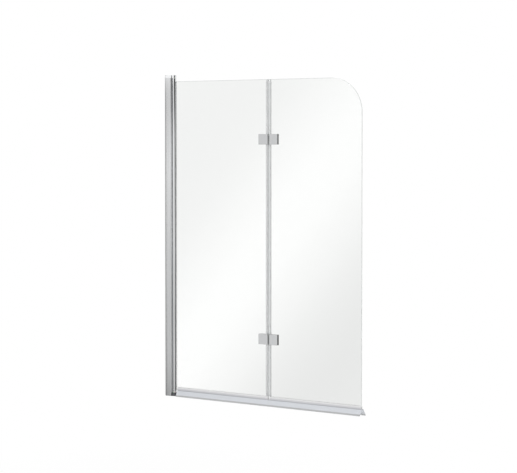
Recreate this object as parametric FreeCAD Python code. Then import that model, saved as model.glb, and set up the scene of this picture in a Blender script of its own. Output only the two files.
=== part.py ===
import FreeCAD, Part
import math
import os

# Folding bath screen: two panes of toughened glass that swing from the wall and fold in half.
#
# Frame, in millimetres: the origin lies on the wall, on the middle of the wall channel and
# level with the rim of the bath. X runs from the wall to the free end, Z is up, and Y points
# into the shower, so the dry side of the screen faces -Y.

# Driving dimensions of the whole screen
screen_height = 1400.0  # rim of the bath to the top of the cap
screen_width = 1000.0  # wall to the free edge of the glass
fold_line = 545.5  # wall to the middle of the gap between the panes
fold_gap = 8.0  # from glass to glass at the fold
fold_offset = 16.0  # how far the fold's axis lies behind the middle of the glass
width_adjustment = 10.0  # how far the profile can be drawn out of the channel

# Clearances
slide_clearance = 0.3  # profile in the channel, each side
running_clearance = 0.05  # pin in a bush or knuckle, on the radius
end_clearance = 0.3  # along a pivot
seal_clearance = 0.2  # seal to the fold line, and seal to its neighbour
screw_clearance = 0.1  # shank in its hole, on the radius

# Glass panes
glass_thickness = 6.0
glass_foot = 27.0  # rim of the bath to the lower edge
glass_head = 28.0  # upper edge to the top of the cap
corner_radius = 143.0  # free top corner
glass_arris = 0.8  # ground edge
glass_hole_radius = 6.0

# Wall channel
channel_depth = 32.0
channel_width = 30.0
channel_wall = 1.2  # beside the edges of the dry side
channel_crown = 1.2  # how far the dry side swells between its edges
channel_web = 2.0
channel_lip_round = 0.6
channel_back_round = 3.0  # corners beside the wall
wall_hole_radius = 2.75
wall_hole_pitch = 400.0
wall_hole_count = 4

# Adjustable profile
profile_wall = 1.5
profile_length = 22.5  # along X
profile_reach = 2.5  # out of the channel when pushed right in
profile_slope = 1.0  # 45 degree edge beside the post

# Clamping screws on the shower side of the channel
clamp_screw_count = 3
clamp_screw_pitch = 500.0
clamp_screw_inset = 5.0  # from the channel's edge
clamp_screw_radius = 2.0
clamp_head_radius = 3.6
clamp_head_height = 2.2
clamp_cover_wall = 0.8
clamp_nut_width = 7.0
clamp_nut_height = 3.2

# Pivot post
post_radius = 9.0
post_wall = 2.5  # around the bushes
post_setback = 7.5  # profile's face to the pivot axis
post_socket_clearance = 0.4
glass_grip = 11.0  # how deep the glass stands in the post
gasket_thickness = 1.0
gasket_lip = 3.5  # past the post

# Cap, bearing and pivots
cap_height = 12.0
cap_back_gap = 0.5  # to the wall
cap_edge = 1.0
bearing_height = 16.0
nose_radius = 9.6
plug_height = 20.0
pivot_radius = 3.0
pivot_grip = 8.0  # in the cap or the bearing
pivot_reach = 9.5  # into the post
bush_flange = 1.5
bush_length = 8.0

# Seals
seal_wall = 1.3
inner_fold_seal_grip = 12.0
outer_fold_seal_grip = 5.0
bottom_seal_grip = 13.0
bottom_seal_start = 18.0  # from the pivot axis
skirt_front = 18.0  # reach from the middle of the glass
skirt_rear_gap = 1.0  # reach short of the fold's axis
skirt_tip_width = 1.6
skirt_tip_height = 3.0
skirt_root = 3.6  # depth of the web where the skirts meet
skirt_overhang = 10.0  # of the rear skirt past the glass; the front one ends flush

# Hinges
hinge_heights = (281.0, 1121.5)  # middles, above the rim
hinge_names = ("lower", "upper")
hinge_height = 44.0
inner_leaf_width = 47.0
outer_leaf_width = 39.0
hinge_plate = 5.0
hinge_edge = 0.6
hinge_gasket = 1.0
hinge_gasket_inset = 0.5
knuckle_radius = 5.5
middle_knuckle = 16.0
washer_thickness = 0.8
washer_clearance = 0.1
hinge_pin_radius = 2.5
neck_foot = 6.0
hinge_screw_pitch = 24.0
hinge_screw_count = 2  # in each leaf, one above the other
hinge_screw_radius = 2.5
hinge_screw_head = 5.0
hinge_screw_key = 1.5  # hexagon socket, middle to corner
hinge_screw_key_sides = 6
hinge_screw_key_depth = 1.8
front_plate_skin = 1.0
sleeve_clearance = 0.2

# Places that follow from the sizes
half_glass = glass_thickness / 2
glass_top = screen_height - glass_head
inner_glass_end = fold_line - fold_gap / 2
outer_glass_start = fold_line + fold_gap / 2
cap_foot = screen_height - cap_height
channel_top = cap_foot - end_clearance
channel_inner = channel_width / 2 - channel_crown - channel_wall
crown_radius = (channel_depth**2 / 4 + channel_crown**2) / (2 * channel_crown)
profile_outer = channel_inner - slide_clearance
profile_inner = profile_outer - profile_wall
profile_face = channel_depth + profile_reach
profile_tail = profile_face - profile_length
slot_half = half_glass + gasket_thickness
post_x = profile_face + post_setback
socket_radius = post_radius + post_socket_clearance
profile_hollow_end = post_x - socket_radius - profile_wall
post_bore = post_radius - post_wall
post_end = post_x + post_radius
inner_glass_start = post_end - glass_grip
slot_floor = inner_glass_start - gasket_thickness
slot_foot = glass_foot - seal_clearance
slot_top = glass_top + seal_clearance
post_foot = bearing_height + end_clearance + bush_flange
post_top = cap_foot - end_clearance - bush_flange
clamp_screw_x = channel_depth - clamp_screw_inset
clamp_nut_foot = profile_inner - slide_clearance - clamp_nut_height
skirt_rear = fold_offset - skirt_rear_gap
clip_half = half_glass + seal_wall
clip_top = glass_foot + bottom_seal_grip
leaf_front = half_glass + hinge_gasket
leaf_back = leaf_front + hinge_plate


def box(x0, x1, y0, y1, z0, z1):
    return Part.makeBox(x1 - x0, y1 - y0, z1 - z0, FreeCAD.Vector(x0, y0, z0))


def upright(radius, x, y, z0, z1):
    """A round bar along Z."""
    return Part.makeCylinder(radius, z1 - z0, FreeCAD.Vector(x, y, z0))


def across(radius, x, z, y0, y1):
    """A round bar along Y."""
    return Part.makeCylinder(radius, y1 - y0, FreeCAD.Vector(x, y0, z), FreeCAD.Vector(0, 1, 0))


def prism(points, along):
    """A closed outline pushed along a vector."""
    corners = [FreeCAD.Vector(*p) for p in points]
    return Part.Face(Part.makePolygon(corners + corners[:1])).extrude(FreeCAD.Vector(*along))


def edges_where(shape, test):
    """The edges whose two ends both pass the test."""
    return [e for e in shape.Edges if len(e.Vertexes) == 2 and all(test(v.Point) for v in e.Vertexes)]


def edges_at_y(shape, y):
    """The edges that lie wholly at one Y."""
    return [e for e in shape.Edges if near(e.BoundBox.YMin, y) and near(e.BoundBox.YMax, y)]


def near(a, b):
    return abs(a - b) < 1e-6


def heights(middle, pitch, count):
    return [middle + (i - (count - 1) / 2) * pitch for i in range(count)]


wall_hole_heights = heights(channel_top / 2, wall_hole_pitch, wall_hole_count)
clamp_screw_heights = heights(channel_top / 2, clamp_screw_pitch, clamp_screw_count)


# --- wall channel and its clamping screws ---


def crowned_block(x0, x1, z0, z1):
    """A block as wide as the channel, with its swollen dry side and round corners beside the wall."""
    half = channel_width / 2
    swell = upright(crown_radius, channel_depth / 2, crown_radius - half, z0, z1)
    body = box(x0, x1, -half, half, z0, z1).common(swell)
    corners = [e for e in edges_where(body, lambda p: near(p.x, x0)) if near(e.Length, z1 - z0)]
    return body.makeFillet(channel_back_round, corners)


def wall_channel():
    half = channel_width / 2
    body = crowned_block(0, channel_depth, 0, channel_top)
    body = body.cut(box(channel_web, channel_depth, -channel_inner, channel_inner, 0, channel_top))
    lips = edges_where(body, lambda p: near(p.x, channel_depth) and abs(p.y) > channel_inner + channel_wall / 2)
    body = body.makeFillet(channel_lip_round, [e for e in lips if e.Length > channel_width])
    for z in wall_hole_heights:
        hole = FreeCAD.Vector(0, 0, z)
        body = body.cut(Part.makeCylinder(wall_hole_radius, channel_web, hole, FreeCAD.Vector(1, 0, 0)))
    for z in clamp_screw_heights:
        radius = clamp_screw_radius + screw_clearance
        body = body.cut(across(radius, clamp_screw_x, z, channel_inner, half))
    return body


def clamp_screw(z):
    half = channel_width / 2
    head = across(clamp_head_radius, clamp_screw_x, z, half, half + clamp_head_height)
    head = head.makeFillet(clamp_head_height / 2, edges_at_y(head, half + clamp_head_height))
    shank = across(clamp_screw_radius, clamp_screw_x, z, clamp_nut_foot, half)
    return head.fuse(shank)


def clamp_nut(z):
    half = clamp_nut_width / 2
    top = clamp_nut_foot + clamp_nut_height
    body = box(clamp_screw_x - half, clamp_screw_x + half, clamp_nut_foot, top, z - half, z + half)
    return body.cut(across(clamp_screw_radius, clamp_screw_x, z, clamp_nut_foot, top))


def clamp_cover(z):
    half = channel_width / 2
    radius = clamp_head_radius + clamp_cover_wall
    top = half + clamp_head_height + clamp_cover_wall
    body = across(radius, clamp_screw_x, z, half, top)
    body = body.makeFillet(clamp_cover_wall, edges_at_y(body, top))
    return body.cut(across(clamp_head_radius, clamp_screw_x, z, half, half + clamp_head_height))


# --- adjustable profile with the cap, the bearing and the pivot pins ---


def adjustable_profile():
    body = box(profile_tail, profile_face, -profile_outer, profile_outer, bearing_height, cap_foot)
    hollow = box(profile_tail, profile_hollow_end, -profile_inner, profile_inner, bearing_height, cap_foot)
    body = body.cut(hollow)
    body = body.cut(upright(socket_radius, post_x, 0, bearing_height, cap_foot))
    radius = clamp_screw_radius + slide_clearance
    lips = edges_where(body, lambda p: near(p.x, profile_face) and near(abs(p.y), profile_outer))
    body = body.makeChamfer(profile_slope, [e for e in lips if e.Length > channel_width])
    for z in clamp_screw_heights:
        slot_back = clamp_screw_x - width_adjustment
        body = body.cut(across(radius, clamp_screw_x, z, profile_inner, profile_outer))
        body = body.cut(across(radius, slot_back, z, profile_inner, profile_outer))
        slot = box(slot_back, clamp_screw_x, profile_inner, profile_outer, z - radius, z + radius)
        body = body.cut(slot)
    return body


def nose(z0, z1):
    """The rounded end over or under the post."""
    block = box(profile_face, post_x, -nose_radius, nose_radius, z0, z1)
    return block.fuse(upright(nose_radius, post_x, 0, z0, z1))


def plug(z0, z1):
    """The block that is pressed into the hollow of the profile."""
    return box(profile_tail, profile_hollow_end, -profile_inner, profile_inner, z0, z1)


def top_cap():
    plate = crowned_block(cap_back_gap, profile_face, cap_foot, screen_height)
    plate = plate.fuse(nose(cap_foot, screen_height)).removeSplitter()
    rim = edges_where(plate, lambda p: near(p.z, screen_height))
    plate = plate.makeFillet(cap_edge, rim)
    body = plate.fuse(plug(cap_foot - plug_height, cap_foot))
    return body.cut(upright(pivot_radius, post_x, 0, cap_foot, cap_foot + pivot_grip))


def bottom_bearing():
    body = box(profile_tail, profile_face, -profile_outer, profile_outer, 0, bearing_height)
    body = body.fuse(nose(0, bearing_height)).removeSplitter()
    body = body.fuse(plug(bearing_height, bearing_height + plug_height))
    return body.cut(upright(pivot_radius, post_x, 0, bearing_height - pivot_grip, bearing_height))


def top_pivot_pin():
    return upright(pivot_radius, post_x, 0, cap_foot - pivot_reach, cap_foot + pivot_grip)


def bottom_pivot_pin():
    return upright(pivot_radius, post_x, 0, bearing_height - pivot_grip, bearing_height + pivot_reach)


# --- pivot post, its bushes and the glazing gasket ---


def pivot_post():
    """A round bar with a slot along the glass and a bore for a bush in each end."""
    body = upright(post_radius, post_x, 0, post_foot, post_top)
    body = body.cut(box(slot_floor, post_end, -slot_half, slot_half, slot_foot, slot_top))
    body = body.cut(upright(post_bore, post_x, 0, post_foot, post_foot + bush_length))
    return body.cut(upright(post_bore, post_x, 0, post_top - bush_length, post_top))


def bush(end, inward):
    """A flanged bush at one end of the post, with its barrel pointing inward."""
    flange_top = end - inward * bush_flange
    barrel_end = end + inward * bush_length
    flange = upright(post_radius, post_x, 0, min(end, flange_top), max(end, flange_top))
    barrel = upright(post_bore, post_x, 0, min(end, barrel_end), max(end, barrel_end))
    low = min(flange_top, barrel_end)
    high = max(flange_top, barrel_end)
    return flange.fuse(barrel).cut(upright(pivot_radius + running_clearance, post_x, 0, low, high))


def glazing_gasket():
    end = post_end + gasket_lip
    body = box(slot_floor, end, -slot_half, slot_half, glass_foot, glass_top)
    return body.cut(box(inner_glass_start, end, -half_glass, half_glass, glass_foot, glass_top))


# --- glass panes ---


def drill_for_hinges(pane, x):
    for middle in hinge_heights:
        for z in heights(middle, hinge_screw_pitch, hinge_screw_count):
            pane = pane.cut(across(glass_hole_radius, x, z, -half_glass, half_glass))
    return pane


def inner_glass():
    pane = box(inner_glass_start, inner_glass_end, -half_glass, half_glass, glass_foot, glass_top)
    pane = pane.makeChamfer(glass_arris, rim_edges(pane))
    return drill_for_hinges(pane, screw_x(-1))


def outer_glass():
    start, end, radius = outer_glass_start, screen_width, corner_radius
    turn = math.sqrt(0.5) * radius
    front = [
        Part.LineSegment(spot(start, glass_foot), spot(end, glass_foot)),
        Part.LineSegment(spot(end, glass_foot), spot(end, glass_top - radius)),
        Part.Arc(
            spot(end, glass_top - radius),
            spot(end - radius + turn, glass_top - radius + turn),
            spot(end - radius, glass_top),
        ),
        Part.LineSegment(spot(end - radius, glass_top), spot(start, glass_top)),
        Part.LineSegment(spot(start, glass_top), spot(start, glass_foot)),
    ]
    outline = Part.Wire([s.toShape() for s in front])
    pane = Part.Face(outline).extrude(FreeCAD.Vector(0, glass_thickness, 0))
    pane = pane.makeChamfer(glass_arris, rim_edges(pane))
    return drill_for_hinges(pane, screw_x(1))


def spot(x, z):
    """A point on the front face of the glass."""
    return FreeCAD.Vector(x, -half_glass, z)


def rim_edges(pane):
    """The edges of a pane that lie in its front or its back face."""
    return [e for e in pane.Edges if near(e.BoundBox.YMin, e.BoundBox.YMax)]


# --- seals ---


def fold_seal(side, z0, z1):
    """A clip on the edge of a pane with a round bead. Side is -1 on the inner pane and 1 on the outer."""
    edge = fold_line + side * fold_gap / 2
    web = edge - side * seal_wall
    tip = fold_line + side * seal_clearance
    grip_end = edge + side * (outer_fold_seal_grip if side > 0 else inner_fold_seal_grip)
    low, high = min(web, grip_end), max(web, grip_end)
    clip = box(low, high, -clip_half, clip_half, z0, z1)
    low, high = min(edge, grip_end), max(edge, grip_end)
    clip = clip.cut(box(low, high, -half_glass, half_glass, z0, z1))
    bead = Part.Wire(
        [
            Part.Arc(
                FreeCAD.Vector(web, -half_glass, z0),
                FreeCAD.Vector(tip, 0, z0),
                FreeCAD.Vector(web, half_glass, z0),
            ).toShape(),
            Part.LineSegment(
                FreeCAD.Vector(web, half_glass, z0), FreeCAD.Vector(web, -half_glass, z0)
            ).toShape(),
        ]
    )
    return clip.fuse(Part.Face(bead).extrude(FreeCAD.Vector(0, 0, z1 - z0))).removeSplitter()


def skirts(x0, x1):
    """The two sloping lips under the glass, from x0 to x1."""
    web_foot = glass_foot - seal_wall
    fork = glass_foot - skirt_root
    outline = [
        (x0, -clip_half, glass_foot),
        (x0, -clip_half, web_foot),
        (x0, -skirt_front, skirt_tip_height),
        (x0, -skirt_front, 0),
        (x0, -skirt_front + skirt_tip_width, 0),
        (x0, 0, fork),
        (x0, skirt_rear - skirt_tip_width, 0),
        (x0, skirt_rear, 0),
        (x0, skirt_rear, skirt_tip_height),
        (x0, clip_half, web_foot),
        (x0, clip_half, glass_foot),
    ]
    return prism(outline, (x1 - x0, 0, 0))


def bottom_seal(x0, x1, clip_x0, clip_x1):
    """Skirts from x0 to x1, under a clip on the glass from clip_x0 to clip_x1."""
    clip = box(clip_x0, clip_x1, -clip_half, clip_half, glass_foot, clip_top)
    clip = clip.cut(box(clip_x0, clip_x1, -half_glass, half_glass, glass_foot, clip_top))
    return skirts(x0, x1).fuse(clip).removeSplitter()


def inner_bottom_seal():
    start = post_x + bottom_seal_start
    return bottom_seal(start, fold_line - seal_clearance, start, inner_glass_end)


def outer_bottom_seal():
    end = screen_width + skirt_overhang
    body = bottom_seal(fold_line + seal_clearance, end, outer_glass_start, screen_width)
    waste = [(screen_width, -skirt_front, 0), (end, -skirt_front, 0), (end, skirt_rear, 0)]
    return body.cut(prism(waste, (0, 0, glass_foot)))


def seal_spans():
    """The lengths of fold seal that fit below, between and above the hinges."""
    half = hinge_height / 2
    low, high = hinge_heights
    return {
        "bottom": (clip_top + seal_clearance, low - half - seal_clearance),
        "middle": (low + half + seal_clearance, high - half - seal_clearance),
        "top": (high + half + seal_clearance, glass_top),
    }


# --- hinges ---


def leaf_span(side):
    """Low and high X of a hinge plate. Side is -1 on the inner pane and 1 on the outer."""
    if side > 0:
        return outer_glass_start, outer_glass_start + outer_leaf_width
    return inner_glass_end - inner_leaf_width, inner_glass_end


def screw_x(side):
    """The X of a leaf's screws, in the middle of its width."""
    low, high = leaf_span(side)
    return (low + high) / 2


def front_plate(side, middle):
    low, high = leaf_span(side)
    z0, z1 = middle - hinge_height / 2, middle + hinge_height / 2
    body = box(low, high, -leaf_back, -leaf_front, z0, z1)
    body = body.makeChamfer(hinge_edge, edges_where(body, lambda p: near(p.y, -leaf_back)))
    x = screw_x(side)
    for z in heights(middle, hinge_screw_pitch, hinge_screw_count):
        body = body.cut(across(hinge_screw_radius, x, z, front_plate_skin - leaf_back, -leaf_front))
    return body


def neck(side, z0, z1):
    """The arm that carries a knuckle out from the edge of its leaf."""
    edge = fold_line + side * fold_gap / 2
    mid_leaf = (leaf_front + leaf_back) / 2
    outline = [
        (fold_line, fold_offset, z0),
        (fold_line + side * knuckle_radius, fold_offset, z0),
        (edge + side * neck_foot, leaf_back, z0),
        (edge + side * neck_foot, mid_leaf, z0),
        (edge, mid_leaf, z0),
        (fold_line, fold_offset - knuckle_radius, z0),
    ]
    return prism(outline, (0, 0, z1 - z0))


def knuckle_spans(side, middle):
    half = middle_knuckle / 2
    if side > 0:
        return [(middle - half, middle + half)]
    step = half + 2 * washer_clearance + washer_thickness
    end = hinge_height / 2
    return [(middle - end, middle - step), (middle + step, middle + end)]


def rear_leaf(side, middle):
    low, high = leaf_span(side)
    z0, z1 = middle - hinge_height / 2, middle + hinge_height / 2
    body = box(low, high, leaf_front, leaf_back, z0, z1)
    far = high if side > 0 else low
    outer = edges_where(body, lambda p: near(p.y, leaf_back) and near(p.x, far))
    body = body.makeChamfer(hinge_edge, outer)
    bore = hinge_pin_radius
    if side > 0:
        bore = hinge_pin_radius + running_clearance
    for low, high in knuckle_spans(side, middle):
        body = body.fuse(neck(side, low, high))
        body = body.fuse(upright(knuckle_radius, fold_line, fold_offset, low, high))
        body = body.cut(upright(bore, fold_line, fold_offset, low, high))
    for z in heights(middle, hinge_screw_pitch, hinge_screw_count):
        body = body.cut(hinge_screw_blank(side, z, screw_clearance))
    return body.removeSplitter()


def hinge_screw_blank(side, z, extra):
    """A countersunk screw's outline, larger by extra."""
    x = screw_x(side)
    shank = across(hinge_screw_radius + extra, x, z, front_plate_skin - leaf_back, leaf_back)
    depth = hinge_screw_head - hinge_screw_radius
    head = Part.makeCone(
        hinge_screw_radius + extra,
        hinge_screw_head + extra,
        depth,
        FreeCAD.Vector(x, leaf_back - depth, z),
        FreeCAD.Vector(0, 1, 0),
    )
    return shank.fuse(head)


def hinge_screw(side, z):
    x = screw_x(side)
    corners = []
    for turn in range(hinge_screw_key_sides):
        angle = 2 * math.pi * turn / hinge_screw_key_sides
        corner_x = x + hinge_screw_key * math.cos(angle)
        corners.append((corner_x, leaf_back, z + hinge_screw_key * math.sin(angle)))
    key = prism(corners, (0, -hinge_screw_key_depth, 0))
    return hinge_screw_blank(side, z, 0).cut(key)


def hole_sleeve(side, z):
    x = screw_x(side)
    body = across(glass_hole_radius - sleeve_clearance, x, z, -leaf_front, leaf_front)
    return body.cut(across(hinge_screw_radius + screw_clearance, x, z, -leaf_front, leaf_front))


def hinge_gasket_pad(side, middle, face):
    """The pad between the glass and a plate. Face is -1 at the front and 1 at the back."""
    low, high = leaf_span(side)
    inset = hinge_gasket_inset
    y0, y1 = sorted((face * half_glass, face * leaf_front))
    z0, z1 = middle - hinge_height / 2 + inset, middle + hinge_height / 2 - inset
    body = box(low + inset, high - inset, y0, y1, z0, z1)
    for z in heights(middle, hinge_screw_pitch, hinge_screw_count):
        body = body.cut(across(glass_hole_radius, screw_x(side), z, y0, y1))
    return body


def hinge_pin(middle):
    half = hinge_height / 2
    return upright(hinge_pin_radius, fold_line, fold_offset, middle - half, middle + half)


def hinge_washers(middle):
    washers = []
    for side in (-1, 1):
        face = middle + side * (middle_knuckle / 2 + washer_clearance)
        far = face + side * washer_thickness
        low, high = min(face, far), max(face, far)
        ring = upright(knuckle_radius, fold_line, fold_offset, low, high)
        washers.append(ring.cut(upright(hinge_pin_radius, fold_line, fold_offset, low, high)))
    return Part.makeCompound(washers)


# --- the whole screen ---


def group(pieces):
    return Part.makeCompound(list(pieces))


def all_hinge_screw_heights():
    places = [heights(middle, hinge_screw_pitch, hinge_screw_count) for middle in hinge_heights]
    return [z for hinge in places for z in hinge]


def build():
    nodes = {
        "wall_channel": wall_channel(),
        "clamp_screws": group(clamp_screw(z) for z in clamp_screw_heights),
        "clamp_nuts": group(clamp_nut(z) for z in clamp_screw_heights),
        "clamp_screw_covers": group(clamp_cover(z) for z in clamp_screw_heights),
        "adjustable_profile": adjustable_profile(),
        "top_cap": top_cap(),
        "bottom_bearing": bottom_bearing(),
        "top_pivot_pin": top_pivot_pin(),
        "bottom_pivot_pin": bottom_pivot_pin(),
        "pivot_post": pivot_post(),
        "top_bush": bush(post_top, -1),
        "bottom_bush": bush(post_foot, 1),
        "glazing_gasket": glazing_gasket(),
        "inner_glass": inner_glass(),
        "outer_glass": outer_glass(),
        "inner_bottom_seal": inner_bottom_seal(),
        "outer_bottom_seal": outer_bottom_seal(),
    }
    for side, pane in ((-1, "inner"), (1, "outer")):
        for span, (z0, z1) in seal_spans().items():
            nodes[f"{pane}_fold_seal_{span}"] = fold_seal(side, z0, z1)
        for hinge, middle in zip(hinge_names, hinge_heights):
            nodes[f"{hinge}_hinge_{pane}_front_plate"] = front_plate(side, middle)
            nodes[f"{hinge}_hinge_{pane}_leaf"] = rear_leaf(side, middle)
        nodes[f"{pane}_hinge_screws"] = group(hinge_screw(side, z) for z in all_hinge_screw_heights())
        nodes[f"{pane}_hole_sleeves"] = group(hole_sleeve(side, z) for z in all_hinge_screw_heights())
        nodes[f"{pane}_hinge_gaskets"] = group(
            hinge_gasket_pad(side, middle, face) for middle in hinge_heights for face in (-1, 1)
        )
    for hinge, middle in zip(hinge_names, hinge_heights):
        nodes[f"{hinge}_hinge_pin"] = hinge_pin(middle)
        nodes[f"{hinge}_hinge_washers"] = hinge_washers(middle)
    return nodes


os.makedirs("parts", exist_ok=True)
for name, shape in build().items():
    shape.exportStep(f"parts/{name}.step")
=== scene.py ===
import math
import bmesh
import bpy
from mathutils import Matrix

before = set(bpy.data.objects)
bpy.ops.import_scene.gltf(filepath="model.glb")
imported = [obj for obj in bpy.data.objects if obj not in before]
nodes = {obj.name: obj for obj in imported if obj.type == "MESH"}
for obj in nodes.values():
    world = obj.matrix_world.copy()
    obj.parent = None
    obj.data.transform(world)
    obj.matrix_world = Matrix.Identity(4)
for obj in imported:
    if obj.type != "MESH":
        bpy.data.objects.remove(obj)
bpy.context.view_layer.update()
scene = bpy.context.scene
scene.view_settings.view_transform = "Standard"


# ---- The camera ----------------------------------------------------------------------------------
# A long lens a little above the middle of the screen, out from the free end, looks back at the wall.
# Most of the framing is a slight tilt down. The rest is a small shift, which keeps the uprights upright.

image_width = 517
focal_px = 1733.1
sensor_width = 36.0
eye = (4.6782, -5.9660, 1.1188)
turn = math.radians(35.0755)
tilt = math.radians(1.997)
lens_shift = -0.07

camera = bpy.data.objects.new("camera", bpy.data.cameras.new("camera"))
scene.collection.objects.link(camera)
scene.camera = camera
camera.location = eye
camera.rotation_euler = (math.radians(90) - tilt, 0, turn)
camera.data.sensor_width = sensor_width
camera.data.lens = focal_px / image_width * sensor_width
camera.data.shift_y = lens_shift


# ---- The studio ----------------------------------------------------------------------------------
# A pale floor at the foot of the bath that the screen would stand on, in a white room. Soft lamps light
# it, and upright graded sheets, far off and close by, give the metal and the glass something to mirror.


def linear(hex_colour):
    """Turns an sRGB hex colour into linear red, green, blue and alpha."""
    parts = [int(hex_colour[i:i + 2], 16) / 255 for i in (0, 2, 4)]
    return tuple(v / 12.92 if v <= 0.04045 else ((v + 0.055) / 1.055) ** 2.4 for v in parts) + (1.0,)


def add(owner, kind, sockets=(), **settings):
    """Adds a node: each socket gets a plain value, or the output that feeds it."""
    made = owner.node_tree.nodes.new("ShaderNode" + kind)
    for name, value in settings.items():
        setattr(made, name, value)
    for name, value in dict(sockets).items():
        if isinstance(value, bpy.types.NodeSocket):
            owner.node_tree.links.new(value, made.inputs[name])
        else:
            made.inputs[name].default_value = value
    return made


def calc(owner, operation, *values):
    """One step of arithmetic on numbers and outputs."""
    return add(owner, "Math", dict(enumerate(values)), operation=operation).outputs[0]


def blank(owner):
    """Clears a material or world of its nodes."""
    owner.use_nodes = True
    owner.node_tree.nodes.clear()
    return owner


def end_in_mix(material, share, first, second):
    """Ends a material in a mix of two shaders."""
    mix = add(material, "MixShader", {0: share, 1: first.outputs[0], 2: second.outputs[0]})
    add(material, "OutputMaterial", {"Surface": mix.outputs[0]})


def shown_white(owner):
    """Gives 1 for rays that show the background: seen straight on, mirrored, or through glass."""
    path = add(owner, "LightPath")
    seen = calc(owner, "MAXIMUM", path.outputs["Is Camera Ray"], path.outputs["Is Glossy Ray"])
    return calc(owner, "MAXIMUM", seen, path.outputs["Is Transmission Ray"])


room_light = 0.72  # what the room sheds on surfaces, where it shows as 1
world = blank(bpy.data.worlds.new("white_room"))
scene.world = world
strength = add(world, "MapRange", {"Value": shown_white(world), "To Min": room_light, "To Max": 1.0})
sky = add(world, "Background", {"Color": linear("ffffff"), "Strength": strength.outputs[0]})
add(world, "OutputWorld", {"Surface": sky.outputs[0]})


def flat_face(name, corners):
    """A flat sheet of the studio, which isn't part of the screen."""
    mesh = bpy.data.meshes.new(name)
    bm = bmesh.new()
    bm.faces.new([bm.verts.new(corner) for corner in corners])
    bm.to_mesh(mesh)
    bm.free()
    face = bpy.data.objects.new(name, mesh)
    scene.collection.objects.link(face)
    return face


floor_level = -0.58
floor_half = 20.0
floor = flat_face("floor", [(x * floor_half, y * floor_half, floor_level)
                            for x, y in ((-1, -1), (1, -1), (1, 1), (-1, 1))])

# The floor shows a part of its own soft shade under the screen, and fades to white away from it.
under_screen = (0.5, 0.0, floor_level)
own_shade = 0.25
shade_near = 0.9
shade_far = 2.4
pale = blank(bpy.data.materials.new("pale_floor"))
floor.data.materials.append(pale)
matt = add(pale, "BsdfDiffuse", {"Color": linear("f6f6f6")})
glow = add(pale, "Emission", {"Color": linear("ffffff")})
spot = add(pale, "TexCoord").outputs["Object"]
away = add(pale, "VectorMath", {0: spot, 1: under_screen}, operation="DISTANCE")
fade = add(pale, "MapRange", {"Value": away.outputs["Value"], "From Min": shade_near, "From Max": shade_far,
                              "To Min": 1 - own_shade, "To Max": 1.0})
end_in_mix(pale, calc(pale, "MULTIPLY", shown_white(pale), fade.outputs[0]), matt, glow)

screen_middle = (0.5, 0.0, 0.7)
lamp_side = 2.2


def soft_lamp(name, place, watts):
    """A square soft box, aimed at the screen, that neither the metal nor the glass shows."""
    data = bpy.data.lights.new(name, "AREA")
    data.shape = "SQUARE"
    data.size = lamp_side
    data.energy = watts
    lamp = bpy.data.objects.new(name, data)
    scene.collection.objects.link(lamp)
    lamp.location = place
    x, y, z = (aim - start for aim, start in zip(screen_middle, place))
    lamp.rotation_euler = (math.atan2(math.hypot(x, y), -z), 0, math.atan2(y, x) - math.pi / 2)
    lamp.visible_glossy = False
    lamp.visible_transmission = False


soft_lamp("key_light", (-1.5, -3.0, 3.0), 70)
soft_lamp("fill_light", (3.5, -2.5, 1.6), 35)
soft_lamp("back_light", (0.8, 3.2, 2.4), 40)


def scrim(name, first, second, foot, head):
    """An upright sheet between two points of the plan, which only mirror images show."""
    (x0, y0), (x1, y1) = first, second
    face = flat_face(name, [(x0, y0, foot), (x1, y1, foot), (x1, y1, head), (x0, y0, head)])
    for ray in ("camera", "diffuse", "transmission", "volume_scatter", "shadow"):
        setattr(face, "visible_" + ray, False)
    material = blank(bpy.data.materials.new(name))
    material.cycles.emission_sampling = "NONE"
    face.data.materials.append(material)
    return material


def colour_ramp(material, share, stops, interpolation):
    """Colours for shares from 0 to 1, from (share, colour) pairs."""
    ramp = add(material, "ValToRGB", {0: share})
    ramp.color_ramp.interpolation = interpolation
    elements = ramp.color_ramp.elements
    elements.remove(elements[-1])
    for place, colour in stops:
        stop = elements[0] if place == stops[0][0] else elements.new(place)
        stop.position = place
        stop.color = colour
    return ramp.outputs[0]


def graded(material, direction, start, end, stops):
    """Greys along a direction, from (share of the way from start to end, grey) pairs."""
    spot = add(material, "TexCoord").outputs["Object"]
    along = add(material, "VectorMath", {0: spot, 1: direction}, operation="DOT_PRODUCT")
    way = add(material, "MapRange", {"Value": along.outputs["Value"], "From Min": start, "From Max": end})
    return colour_ramp(material, way.outputs[0], [(place, (grey, grey, grey, 1.0)) for place, grey in stops],
                       "CARDINAL")


def veil(material, dimming):
    """Dims what metal and plastic mirror. Glass, which mirrors sharply, looks through it."""
    path = add(material, "LightPath")
    dim = add(material, "BsdfTransparent", {"Color": dimming})
    end_in_mix(material, path.outputs["Is Singular Ray"], dim, add(material, "BsdfTransparent"))


# A slanting strip light, 2 m in front of the glass, lies as a pale band across both panes.
# Only a perfectly smooth surface mirrors it, and the back of a pane does so through its front.
strip_y = -2.0
strip_across = (-0.743, 0.0, 0.669)
strip_middle = 0.906
strip_reach = 1.33
strip_peak = 2.33
strip = scrim("strip_light", (-3.2, strip_y), (0.9, strip_y), foot=-0.55, head=2.6)
bpy.data.objects["strip_light"].visible_transmission = True
strip_grey = graded(strip, strip_across, strip_middle - strip_reach, strip_middle + strip_reach, [
    (0.00, 0.20), (0.15, 0.06), (0.27, 0.05), (0.37, 0.45), (0.46, 0.87), (0.525, 1.0),
    (0.59, 0.91), (0.68, 0.62), (0.76, 0.47), (1.0, 0.46)])
strip_path = add(strip, "LightPath")
mirrored = calc(strip, "GREATER_THAN", strip_path.outputs["Glossy Depth"], 0.5)
sharp = calc(strip, "MULTIPLY", strip_path.outputs["Is Singular Ray"], mirrored)
shine = add(strip, "Emission", {"Color": strip_grey, "Strength": strip_peak})
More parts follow.
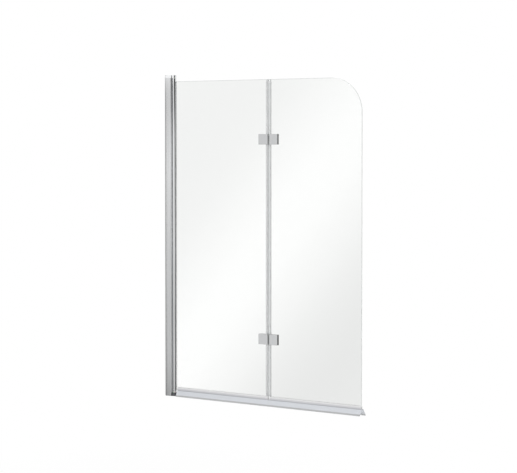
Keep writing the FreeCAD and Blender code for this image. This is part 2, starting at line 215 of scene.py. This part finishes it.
end_in_mix(strip, sharp, add(strip, "BsdfTransparent"), shine)

along_x = (1.0, 0.0, 0.0)
along_y = (0.0, 1.0, 0.0)
upwards = (0.0, 0.0, 1.0)

# The graded scrim, before the channel and to its left, shades the channel's swollen side: most at the
# foot and beside the wall.
scrim_y = -0.6
shade = scrim("graded_scrim", (-0.95, scrim_y), (-0.06, scrim_y), foot=-0.40, head=1.39)
shade_up = graded(shade, upwards, -0.12, 1.48, [
    (0.0, 0.42), (0.04, 0.53), (0.08, 0.60), (0.14, 0.66), (0.26, 0.70), (0.38, 0.77), (0.50, 0.81),
    (0.62, 0.89), (0.68, 0.96), (0.74, 0.93), (0.80, 0.87), (0.86, 0.79), (0.92, 0.76)])
shade_across = graded(shade, along_x, -0.80, -0.10, [
    (0.0, 0.05), (0.10, 0.12), (0.19, 0.62), (0.27, 1.0), (0.88, 1.0), (1.0, 0.95)])
veil(shade, add(shade, "VectorMath", {0: shade_up, 1: shade_across}, operation="MULTIPLY").outputs[0])

# Narrow flags stand a few centimetres from the metal, so that only the metal beside them mirrors them:
# one draws the dark line down the post, one shades the post's head and foot, and one darkens the
# channel's back corner. They reach a little past the screen's foot and head.
flag_foot = -0.03
flag_head = 1.43
right_flag_front = -0.0438
right_flag_back = -0.0065
right_flag = scrim("right_flag", (0.0720, right_flag_front), (0.0898, right_flag_back), flag_foot, flag_head)
veil(right_flag, graded(right_flag, along_y, right_flag_front, right_flag_back, [
    (0.0, 0.45), (0.154, 0.50), (0.323, 0.55), (0.46, 0.40), (0.56, 0.15), (0.64, 0.05), (1.0, 0.05)]))
front_flag = scrim("front_flag", (0.0506, -0.0378), (0.0784, -0.0130), flag_foot, flag_head)
veil(front_flag, graded(front_flag, upwards, 0.0, 1.4, [
    (0.0, 0.50), (0.03, 0.60), (0.07, 0.68), (0.13, 0.75), (0.20, 0.72), (0.26, 0.70), (0.32, 0.80),
    (0.385, 0.88), (0.47, 1.0), (0.78, 0.98), (0.825, 0.86), (0.86, 0.66), (0.89, 0.45), (0.93, 0.28),
    (1.0, 0.12)]))
left_flag = scrim("left_flag", (-0.006, -0.0191), (-0.006, -0.0094), flag_foot, flag_head)
veil(left_flag, (0.03, 0.03, 0.03, 1.0))

# A large flag, behind the screen on the right, darkens the ends of the hinge plates.
back_flag = scrim("back_flag", (2.0, 3.2), (3.0, 2.2), foot=-0.56, head=2.6)
veil(back_flag, graded(back_flag, upwards, -0.2, 1.6, [(0.0, 0.03), (0.35, 0.12), (0.60, 0.45), (1.0, 0.6)]))


# ---- Wall channel --------------------------------------------------------------------------------
# A U-shaped aluminium extrusion, screwed to the wall through its back. It is bright anodised, so it
# mirrors the room softly, with faint lines along its length from the drawing die.

die_size = (0.0025, 0.0025, 0.45)  # lines of 0.3 mm in the metal, drawn as 2.5 mm so that they show
die_contrast = (0.35, 0.65)
die_relief = (1.0, 0.00001)


def grain(material, size, detail, roughness=0.5, turned=0.0):
    """A noise with spots of this size along X, Y and Z in metres, turned about Y."""
    spot = add(material, "TexCoord").outputs["Object"]
    scaled = add(material, "Mapping", {"Vector": spot, "Rotation": (0.0, turned, 0.0),
                                       "Scale": tuple(1 / side for side in size)})
    return add(material, "TexNoise", {"Vector": scaled.outputs[0], "Scale": 1.0, "Detail": detail,
                                      "Roughness": roughness}).outputs[0]


def spread(material, value, ends, source=(0.0, 1.0)):
    """Stretches the source range of a value over two ends."""
    return add(material, "MapRange", {"Value": value, "From Min": source[0], "From Max": source[1],
                                      "To Min": ends[0], "To Max": ends[1]}).outputs[0]


def mixed(material, share, first, second, blend="MIX"):
    """A blend of two colours, each in sRGB hex or the output of another node."""
    first, second = (linear(colour) if isinstance(colour, str) else colour for colour in (first, second))
    return add(material, "Mix", {0: share, 6: first, 7: second}, data_type="RGBA",
               blend_type=blend).outputs[2]


def end_in_relief(material, sockets, height, relief):
    """Ends a material in the main shader, with a relief given as strength and depth in metres."""
    strength, depth = relief
    bump = add(material, "Bump", {"Height": height, "Strength": strength, "Distance": depth})
    body = add(material, "BsdfPrincipled", {**sockets, "Normal": bump.outputs[0]})
    add(material, "OutputMaterial", {"Surface": body.outputs[0]})


def anodised_extrusion(name, roughness, bright="e6e7e8", dull="dcddde"):
    """Die lines along Z carry the colour, the roughness and a shallow relief."""
    material = blank(bpy.data.materials.new(name))
    lines = grain(material, die_size, 3.0, roughness=0.6)
    share = spread(material, lines, (0.0, 1.0), source=die_contrast)
    end_in_relief(material, {
        "Base Color": mixed(material, share, bright, dull), "Metallic": 1.0,
        "Roughness": spread(material, share, roughness)}, lines, die_relief)
    return material


def dress(material, *names):
    """Gives CAD nodes their finish."""
    for name in names:
        nodes[name].data.materials[0] = material


dress(anodised_extrusion("bright_anodised_aluminium", (0.17, 0.25)), "wall_channel")


# ---- Clamping screws, nuts and covers ------------------------------------------------------------
# Three stainless pan-head screws on the shower side draw nuts against the inside of the profile.
# A white nylon cover snaps over each head. The heads are turned, so they carry fine rings.

mark_width = 0.0008  # turning marks of 0.1 mm, drawn as 0.8 mm
mark_length = mark_width / 0.15
plastic_ior = 1.53


def turned_steel(name, size):
    """Fine marks, narrow along the axis of the part or across it."""
    material = blank(bpy.data.materials.new(name))
    marks = grain(material, size, 4.0)
    end_in_relief(material, {
        "Base Color": mixed(material, marks, "a9a9ab", "c4c4c5"), "Metallic": 1.0,
        "Roughness": spread(material, marks, (0.2, 0.4))}, marks, (0.2, 0.00002))
    return material


screw_steel = turned_steel("turned_stainless_steel", (mark_length, mark_width, mark_length))
dress(screw_steel, "clamp_screws", "clamp_nuts")

nylon_grain = 0.0012  # spark-eroded mould texture of 0.2 mm, drawn as 1.2 mm
nylon = blank(bpy.data.materials.new("moulded_natural_nylon"))
nylon_texture = grain(nylon, (nylon_grain,) * 3, 2.0)
end_in_relief(nylon, {
    "Base Color": mixed(nylon, nylon_texture, "e0e0dc", "ecece9"),
    "Roughness": spread(nylon, nylon_texture, (0.38, 0.52)), "IOR": plastic_ior,
    "Subsurface Weight": 0.15, "Subsurface Scale": 0.002}, nylon_texture, (0.2, 0.00003))
dress(nylon, "clamp_screw_covers")


# ---- Adjustable profile --------------------------------------------------------------------------
# A second aluminium extrusion that slides in the channel, so the screen fits a wall that isn't plumb.
# Its open side is a round socket for the post. It has the channel's finish, from another die.

dress(anodised_extrusion("bright_anodised_profile", (0.16, 0.22)), "adjustable_profile")


# ---- Top cap -------------------------------------------------------------------------------------
# Moulded ABS with a vacuum-metallised silver coat, pressed into the head of the profile. The coat is
# paler than the aluminium beside it, and has the faint waviness of a moulding.

cap_wave = 0.006
cap_grain = 0.0012  # mould texture of 0.1 mm, drawn as 1.2 mm
silver_coat = blank(bpy.data.materials.new("silver_coated_abs"))
cap_waves = grain(silver_coat, (cap_wave,) * 3, 1.0)
cap_texture = grain(silver_coat, (cap_grain,) * 3, 2.0)
end_in_relief(silver_coat, {
    "Base Color": mixed(silver_coat, cap_waves, "eff0f1", "f6f7f8"), "Metallic": 0.85,
    "Roughness": spread(silver_coat, cap_texture, (0.12, 0.20))}, cap_waves, (0.3, 0.00008))
dress(silver_coat, "top_cap")


# ---- Bottom bearing ------------------------------------------------------------------------------
# A block of dark glass-filled nylon in the foot of the profile, which carries the weight of the panes.
# It is satin, with a slightly mottled skin where the fibres come near the surface.

fibre_size = 0.0015  # glass fibres of 0.3 mm, drawn as 1.5 mm
dark_nylon = blank(bpy.data.materials.new("glass_filled_nylon"))
bearing_spot = add(dark_nylon, "TexCoord").outputs["Object"]
fibres = add(dark_nylon, "TexVoronoi", {"Vector": bearing_spot, "Scale": 1 / fibre_size}).outputs["Distance"]
end_in_relief(dark_nylon, {
    "Base Color": mixed(dark_nylon, fibres, "56575a", "45464a"),
    "Roughness": spread(dark_nylon, fibres, (0.42, 0.58)), "IOR": plastic_ior}, fibres, (0.15, 0.00003))
dress(dark_nylon, "bottom_bearing")


# ---- Pivot pins and bushes -----------------------------------------------------------------------
# Two 6 mm ground steel pins stand in the cap and the bearing. The post turns on them in flanged
# nylon bushes, of which only the thin white flanges show.

pin_steel = turned_steel("ground_pin_steel", (mark_length, mark_length, mark_width))
dress(pin_steel, "top_pivot_pin", "bottom_pivot_pin")
dress(nylon, "top_bush", "bottom_bush")


# ---- Pivot post ----------------------------------------------------------------------------------
# A round 18 mm aluminium bar with a slot along its side for the glass. It is polished before it is
# anodised, so it mirrors the room more sharply than the flat profiles.

dress(anodised_extrusion("polished_anodised_bar", (0.08, 0.12), bright="ebeced", dull="e3e4e5"), "pivot_post")


# ---- Panes of glass ------------------------------------------------------------------------------
# Two panes of clear 6 mm toughened float glass, the inner one set in the post. The faces are perfectly
# smooth. The edges are ground, with a fine matt arris on each side of a polished, faintly green land. Along
# the top edge the arris is painted dark grey, as painted shade.

face_depth = 0.00298  # half the thickness, less a hair
land_half = 0.0022
top_level = 1.3712  # above this, only the top edge is left
grind_size = 0.0008  # grinding marks of 0.1 mm, drawn as 0.8 mm
glass_ior = 1.5
float_glass = blank(bpy.data.materials.new("clear_float_glass"))
glass_spot = add(float_glass, "TexCoord").outputs["Object"]
glass_xyz = add(float_glass, "SeparateXYZ", {0: glass_spot})
depth = calc(float_glass, "ABSOLUTE", glass_xyz.outputs["Y"])
on_edge = calc(float_glass, "LESS_THAN", depth, face_depth)
on_land = calc(float_glass, "LESS_THAN", depth, land_half)
# The arris above the top level is painted dark grey: painted shade on the top edge.
top_edge_painted_shade = calc(float_glass, "GREATER_THAN", glass_xyz.outputs["Z"], top_level)
arris_tint_and_top_shade = mixed(float_glass, top_edge_painted_shade, "e4e9e6", "8f9895")
edge_tint_and_top_shade = mixed(float_glass, on_land, arris_tint_and_top_shade, "fafdfb")
matt_edge = spread(float_glass, grain(float_glass, (grind_size,) * 3, 2.0), (0.25, 0.45))
pane = add(float_glass, "BsdfPrincipled", {
    "Base Color": mixed(float_glass, on_edge, "f1f2f1", edge_tint_and_top_shade), "IOR": glass_ior,
    "Roughness": calc(float_glass, "MULTIPLY", matt_edge, on_edge),
    "Transmission Weight": spread(float_glass, on_edge, (1.0, 0.35))})
add(float_glass, "OutputMaterial", {"Surface": pane.outputs[0]})
dress(float_glass, "inner_glass", "outer_glass")


# ---- Glazing gasket and fold seals ---------------------------------------------------------------
# Clear PVC extrusions. The gasket wedges the inner pane in the post's slot, and the two rows of clips on
# the panes' facing edges each carry a round bead. The lips look nearly clear and the beads a soft grey.

pvc_size = (0.0015, 0.0015, 0.12)  # extrusion lines of 0.2 mm, drawn as 1.5 mm


def extruded_pvc(name, first, second, cover):
    """Extrusion lines along Z in a clear plastic. Cover is the share that one wall hides."""
    material = blank(bpy.data.materials.new(name))
    lines = grain(material, pvc_size, 2.0)
    end_in_relief(material, {
        "Base Color": mixed(material, lines, first, second), "Alpha": cover, "IOR": plastic_ior,
        "Roughness": spread(material, lines, (0.15, 0.3))}, lines, (0.2, 0.00004))
    return material


dress(extruded_pvc("milky_gasket_pvc", "f0f2f3", "f8f9fa", 0.28), "glazing_gasket")
seal_pvc = extruded_pvc("clear_extruded_pvc", "d3d5d7", "dfe0e2", 0.26)
for side in ("inner", "outer"):
    for span in ("bottom", "middle", "top"):
        dress(seal_pvc, side + "_fold_seal_" + span)


# ---- Bottom seals --------------------------------------------------------------------------------
# Each is one extrusion in two hardnesses of PVC: a stiffer clip on the foot of the glass, which pales from
# grey to white, and two soft milky skirts that slope out to the bath. A crease lies where they meet. Its
# shade is painted as a grey band, and painted shade also darkens the tips of the skirts at the foot.

# The tip grey and the crease grey are painted shade: darker at the skirts' tips and in the crease under the
# clip.
painted_tip_shade = "bcbdbe"
skirt_milk = "dee1e6"
painted_crease_shade = "b2b4b8"
clip_grey = "cacacf"
clip_top = "ffffff"
seal_top = 0.040
skirt_size = (0.15, 0.0012, 0.0012)  # extrusion lines of 0.2 mm, drawn as 1.2 mm
soft_pvc = blank(bpy.data.materials.new("two_part_seal_pvc"))
seal_spot = add(soft_pvc, "TexCoord").outputs["Object"]
seal_height = add(soft_pvc, "SeparateXYZ", {0: seal_spot}).outputs["Z"]
rise = spread(soft_pvc, seal_height, (0.0, 1.0), source=(0.0, seal_top))
# The bands hold the PVC's own greys and whites, with painted shade at the tips and in the crease.
bands_and_painted_shade = colour_ramp(soft_pvc, rise, [(place, linear(colour)) for place, colour in (
    (0.0, painted_tip_shade), (0.145, painted_tip_shade), (0.195, skirt_milk), (0.595, skirt_milk), (0.635, painted_crease_shade),
    (0.655, painted_crease_shade), (0.685, clip_grey), (1.0, clip_top))], "LINEAR")
skirt_lines = grain(soft_pvc, skirt_size, 3.0)
unevenness = spread(soft_pvc, skirt_lines, (0.92, 1.04))
end_in_relief(soft_pvc, {
    "Base Color": mixed(soft_pvc, 1.0, bands_and_painted_shade, unevenness, blend="MULTIPLY"),
    "Roughness": spread(soft_pvc, skirt_lines, (0.25, 0.4)), "IOR": plastic_ior,
    "Transmission Weight": 0.25}, skirt_lines, (0.2, 0.00005))
dress(soft_pvc, "inner_bottom_seal", "outer_bottom_seal")


# ---- Hinge gaskets and hole sleeves --------------------------------------------------------------
# Pads of 1 mm black EPDM lie between the glass and the hinge plates, and nylon sleeves line the holes.
# The rubber is matt, with a fine uneven skin.

rubber_grain = 0.001
rubber = blank(bpy.data.materials.new("black_epdm_rubber"))
rubber_texture = grain(rubber, (rubber_grain,) * 3, 3.0)
end_in_relief(rubber, {
    "Base Color": mixed(rubber, rubber_texture, "1b1b1c", "2a2a2b"),
    "Roughness": spread(rubber, rubber_texture, (0.5, 0.75))}, rubber_texture, (0.3, 0.00005))
dress(rubber, "inner_hinge_gaskets", "outer_hinge_gaskets")
dress(nylon, "inner_hole_sleeves", "outer_hole_sleeves")


# ---- Hinge plates and leaves ---------------------------------------------------------------------
# Die-cast zinc, polished and chrome plated. Front and rear plates clamp the glass, and the rear leaves
# carry the knuckles. A faint polishing haze and the ripple of the casting break what the plating mirrors.

polish_width = 0.002  # buffing marks of 0.2 mm, drawn as 2 mm
polish_length = polish_width / 0.12
polish_slant = math.radians(20)
haze_contrast = (0.3, 0.7)
casting_wave = 0.009
chrome = blank(bpy.data.materials.new("chrome_plated_zinc"))
haze = grain(chrome, (polish_length, polish_width, polish_width), 4.0, turned=polish_slant)
ripple = grain(chrome, (casting_wave,) * 3, 0.0)
end_in_relief(chrome, {
    "Base Color": mixed(chrome, haze, "c3c4c5", "cdcecf"), "Metallic": 1.0,
    "Roughness": spread(chrome, haze, (0.07, 0.14), source=haze_contrast)}, ripple, (0.2, 0.0001))
for hinge in ("lower", "upper"):
    for side in ("inner", "outer"):
        dress(chrome, hinge + "_hinge_" + side + "_front_plate", hinge + "_hinge_" + side + "_leaf")


# ---- Hinge screws, pins and washers --------------------------------------------------------------
# Countersunk stainless screws with a hexagon socket join the plates from the shower side. Each pair of
# leaves turns on a 5 mm pin, with a nylon washer on each side of the middle knuckle.

dress(screw_steel, "inner_hinge_screws", "outer_hinge_screws")
for hinge in ("lower", "upper"):
    dress(pin_steel, hinge + "_hinge_pin")
    dress(nylon, hinge + "_hinge_washers")
